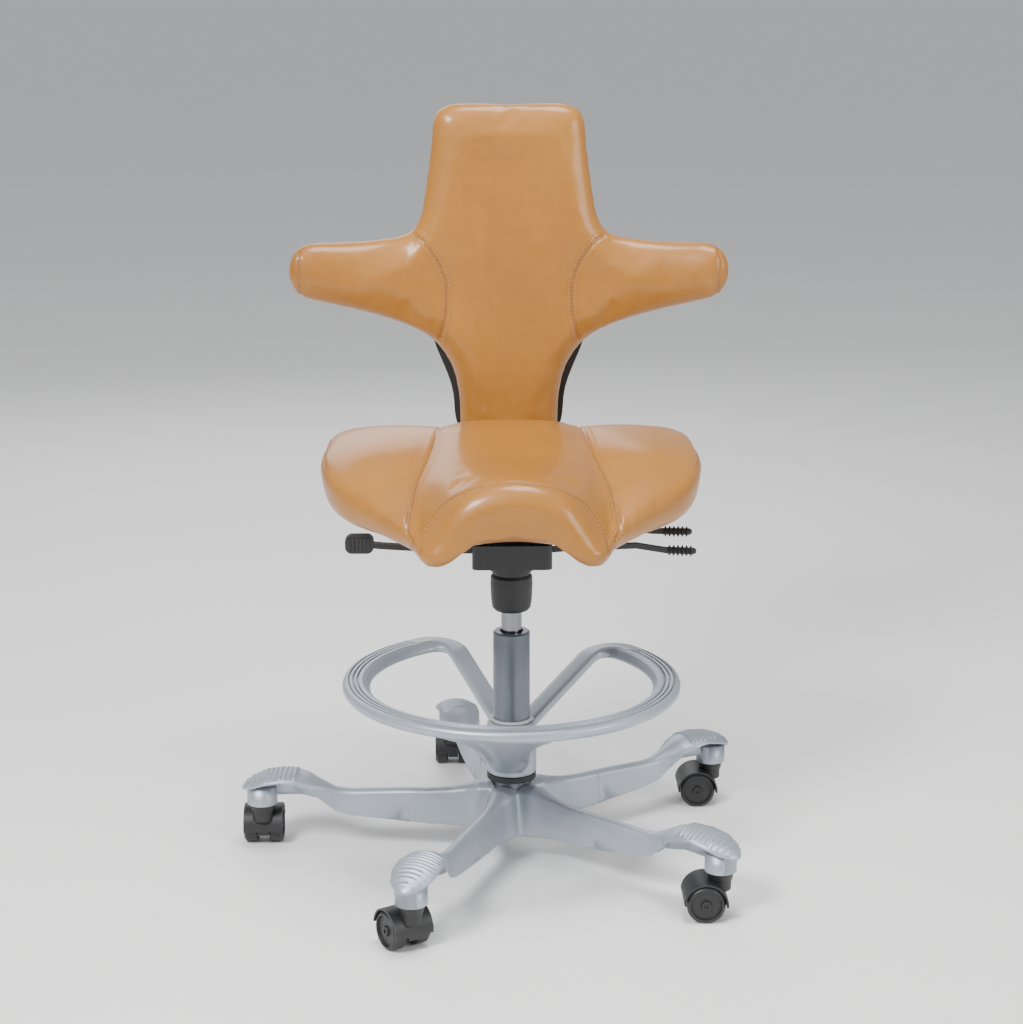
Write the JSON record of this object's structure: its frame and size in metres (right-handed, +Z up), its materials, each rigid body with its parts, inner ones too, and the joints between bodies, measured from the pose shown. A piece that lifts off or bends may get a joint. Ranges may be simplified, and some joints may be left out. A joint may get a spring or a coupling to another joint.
{
  "type": "saddle stool",
  "caption": "Saddle-shaped swivel stool with a winged back pad, gas-spring height, tilting seat, foot ring and a five-armed caster base.",
  "frame": {"origin": "on the floor, on the axis of the column", "axes": "+Z up; -Y is the way the sitter faces; +X is to the right seen from the front"},
  "size_m": [0.6938, 0.7333, 1.009],
  "materials": {
    "cast_base": "satin silver paint",
    "column_paint": "satin grey paint",
    "chrome": "polished",
    "steel": "zinc plated",
    "black_steel": "satin black powder coat",
    "black_casting": "black powder coat",
    "black_plastic": "moulded, fine grain",
    "bush_plastic": "moulded grey",
    "rubber": "matte",
    "leather": "smooth tan leather over foam",
    "caster_plastic": "semi-gloss black",
    "wheel": "black nylon with a soft grey-black tread"
  },
  "bodies": {
    "base": {"base_star": "cast_base", "ring_washer": "black_plastic", "foot_ring": "cast_base", "foot_ring_bush": "bush_plastic", "column_tube": "column_paint", "column_guide": "bush_plastic", "column_clip": "steel", "thrust_bearing": "steel", "column_bumper": "rubber", "caster_stems": "steel"},
    "swivel": {"piston_rod": "steel"},
    "lift": {"gas_cylinder": "chrome", "mech_housing": "black_casting", "tilt_axle": "steel", "tilt_buffers": "rubber"},
    "tension": {"tension_sleeve": "black_plastic"},
    "valve": {"valve_button": "steel"},
    "height_lever": {"height_lever": "black_steel", "height_lever_grip": "black_plastic"},
    "tilt_lock": {"tilt_lock_lever": "black_steel", "tilt_lock_grip": "black_plastic"},
    "tilt": {"tilt_frame": "black_steel", "back_arm": "black_steel", "frame_screws": "steel"},
    "seat_depth": {"seat_depth_lever": "black_steel", "seat_depth_grip": "black_plastic"},
    "seat": {"seat_rails": "steel", "seat_screws": "steel", "seat_shell": "black_plastic", "seat_cushion": "leather"},
    "back": {"back_carriage": "black_plastic", "back_shell": "black_plastic", "back_cushion": "leather", "back_screws": "steel"},
    "back_button": {"back_height_button": "black_plastic"},
    "caster_rear_right": {"caster_rear_right_housing": "caster_plastic", "caster_rear_right_axle": "steel"},
    "caster_rear_right_left": {"caster_rear_right_wheel_left": "wheel"},
    "caster_rear_right_right": {"caster_rear_right_wheel_right": "wheel"},
    "caster_rear_left": {"caster_rear_left_housing": "caster_plastic", "caster_rear_left_axle": "steel"},
    "caster_rear_left_left": {"caster_rear_left_wheel_left": "wheel"},
    "caster_rear_left_right": {"caster_rear_left_wheel_right": "wheel"},
    "caster_left": {"caster_left_housing": "caster_plastic", "caster_left_axle": "steel"},
    "caster_left_left": {"caster_left_wheel_left": "wheel"},
    "caster_left_right": {"caster_left_wheel_right": "wheel"},
    "caster_front_left": {"caster_front_left_housing": "caster_plastic", "caster_front_left_axle": "steel"},
    "caster_front_left_left": {"caster_front_left_wheel_left": "wheel"},
    "caster_front_left_right": {"caster_front_left_wheel_right": "wheel"},
    "caster_front_right": {"caster_front_right_housing": "caster_plastic", "caster_front_right_axle": "steel"},
    "caster_front_right_left": {"caster_front_right_wheel_left": "wheel"},
    "caster_front_right_right": {"caster_front_right_wheel_right": "wheel"}
  },
  "joints": [
    {"name": "seat_swivel", "type": "hinge", "parent": "base", "child": "swivel", "pos_m": [0, 0, 0.2], "axis": [0, 0, 1], "continuous": true},
    {"name": "seat_height", "type": "slide", "parent": "swivel", "child": "lift", "axis": [0, 0, 1], "range_m": [-0.027, 0.173]},
    {"name": "tilt_tension", "type": "hinge", "parent": "lift", "child": "tension", "pos_m": [0, 0, 0.3986], "axis": [0, 0, 1], "range_deg": [-360, 360]},
    {"name": "height_lever_lift", "type": "hinge", "parent": "lift", "child": "height_lever", "pos_m": [-0.044, -0.032, 0.44], "axis": [0, 1, 0], "range_deg": [0, 4], "stiffness_Nm_per_rad": 6},
    {"name": "valve_press", "type": "slide", "parent": "lift", "child": "valve", "axis": [0, 0, -1], "range_m": [0, 0.0032]},
    {"name": "tilt_lock_lift", "type": "hinge", "parent": "lift", "child": "tilt_lock", "pos_m": [0.044, -0.032, 0.44], "axis": [0, -1, 0], "range_deg": [0, 8]},
    {"name": "seat_tilt", "type": "hinge", "parent": "lift", "child": "tilt", "pos_m": [0, 0.04, 0.44], "axis": [-1, 0, 0], "range_deg": [-6, 12]},
    {"name": "seat_depth_lift", "type": "hinge", "parent": "tilt", "child": "seat_depth", "pos_m": [0.052, 0.01, 0.466], "axis": [0, -1, 0], "range_deg": [0, 6], "stiffness_Nm_per_rad": 6},
    {"name": "seat_depth", "type": "slide", "parent": "tilt", "child": "seat", "axis": [0, 1, 0], "range_m": [-0.045, 0.012]},
    {"name": "back_height", "type": "slide", "parent": "tilt", "child": "back", "axis": [0, 0, 1], "range_m": [-0.025, 0.075]},
    {"name": "back_button_press", "type": "slide", "parent": "back", "child": "back_button", "axis": [-1, 0, 0], "range_m": [0, 0.003], "stiffness_N_per_m": 400},
    {"name": "caster_rear_right_swivel", "type": "hinge", "parent": "base", "child": "caster_rear_right", "pos_m": [0.29413, 0.18336, 0.06], "axis": [0, 0, 1], "continuous": true},
    {"name": "caster_rear_right_left_roll", "type": "hinge", "parent": "caster_rear_right", "child": "caster_rear_right_left", "pos_m": [0.27413, 0.18336, 0.025], "axis": [0, -1, 0], "continuous": true},
    {"name": "caster_rear_right_right_roll", "type": "hinge", "parent": "caster_rear_right", "child": "caster_rear_right_right", "pos_m": [0.27413, 0.18336, 0.025], "axis": [0, -1, 0], "continuous": true},
    {"name": "caster_rear_left_swivel", "type": "hinge", "parent": "base", "child": "caster_rear_left", "pos_m": [-0.0835, 0.33639, 0.06], "axis": [0, 0, 1], "continuous": true},
    {"name": "caster_rear_left_left_roll", "type": "hinge", "parent": "caster_rear_left", "child": "caster_rear_left_left", "pos_m": [-0.0835, 0.35639, 0.025], "axis": [-1, 0, 0], "continuous": true},
    {"name": "caster_rear_left_right_roll", "type": "hinge", "parent": "caster_rear_left", "child": "caster_rear_left_right", "pos_m": [-0.0835, 0.35639, 0.025], "axis": [-1, 0, 0], "continuous": true},
    {"name": "caster_left_swivel", "type": "hinge", "parent": "base", "child": "caster_left", "pos_m": [-0.34573, 0.02454, 0.06], "axis": [0, 0, 1], "continuous": true},
    {"name": "caster_left_left_roll", "type": "hinge", "parent": "caster_left", "child": "caster_left_left", "pos_m": [-0.34573, 0.04454, 0.025], "axis": [-1, 0, 0], "continuous": true},
    {"name": "caster_left_right_roll", "type": "hinge", "parent": "caster_left", "child": "caster_left_right", "pos_m": [-0.34573, 0.04454, 0.025], "axis": [-1, 0, 0], "continuous": true},
    {"name": "caster_front_left_swivel", "type": "hinge", "parent": "base", "child": "caster_front_left", "pos_m": [-0.13018, -0.32123, 0.06], "axis": [0, 0, 1], "continuous": true},
    {"name": "caster_front_left_left_roll", "type": "hinge", "parent": "caster_front_left", "child": "caster_front_left_left", "pos_m": [-0.14077, -0.30427, 0.025], "axis": [-0.848, -0.5299, 0], "continuous": true},
    {"name": "caster_front_left_right_roll", "type": "hinge", "parent": "caster_front_left", "child": "caster_front_left_right", "pos_m": [-0.14077, -0.30427, 0.025], "axis": [-0.848, -0.5299, 0], "continuous": true},
    {"name": "caster_front_right_swivel", "type": "hinge", "parent": "base", "child": "caster_front_right", "pos_m": [0.26528, -0.22307, 0.06], "axis": [0, 0, 1], "continuous": true},
    {"name": "caster_front_right_left_roll", "type": "hinge", "parent": "caster_front_right", "child": "caster_front_right_left", "pos_m": [0.24528, -0.22307, 0.025], "axis": [0, -1, 0], "continuous": true},
    {"name": "caster_front_right_right_roll", "type": "hinge", "parent": "caster_front_right", "child": "caster_front_right_right", "pos_m": [0.24528, -0.22307, 0.025], "axis": [0, -1, 0], "continuous": true}
  ],
  "couplings": [
    {"joint": "valve_press", "follows": "height_lever_lift", "m_per_rad": 0.044}
  ]
}
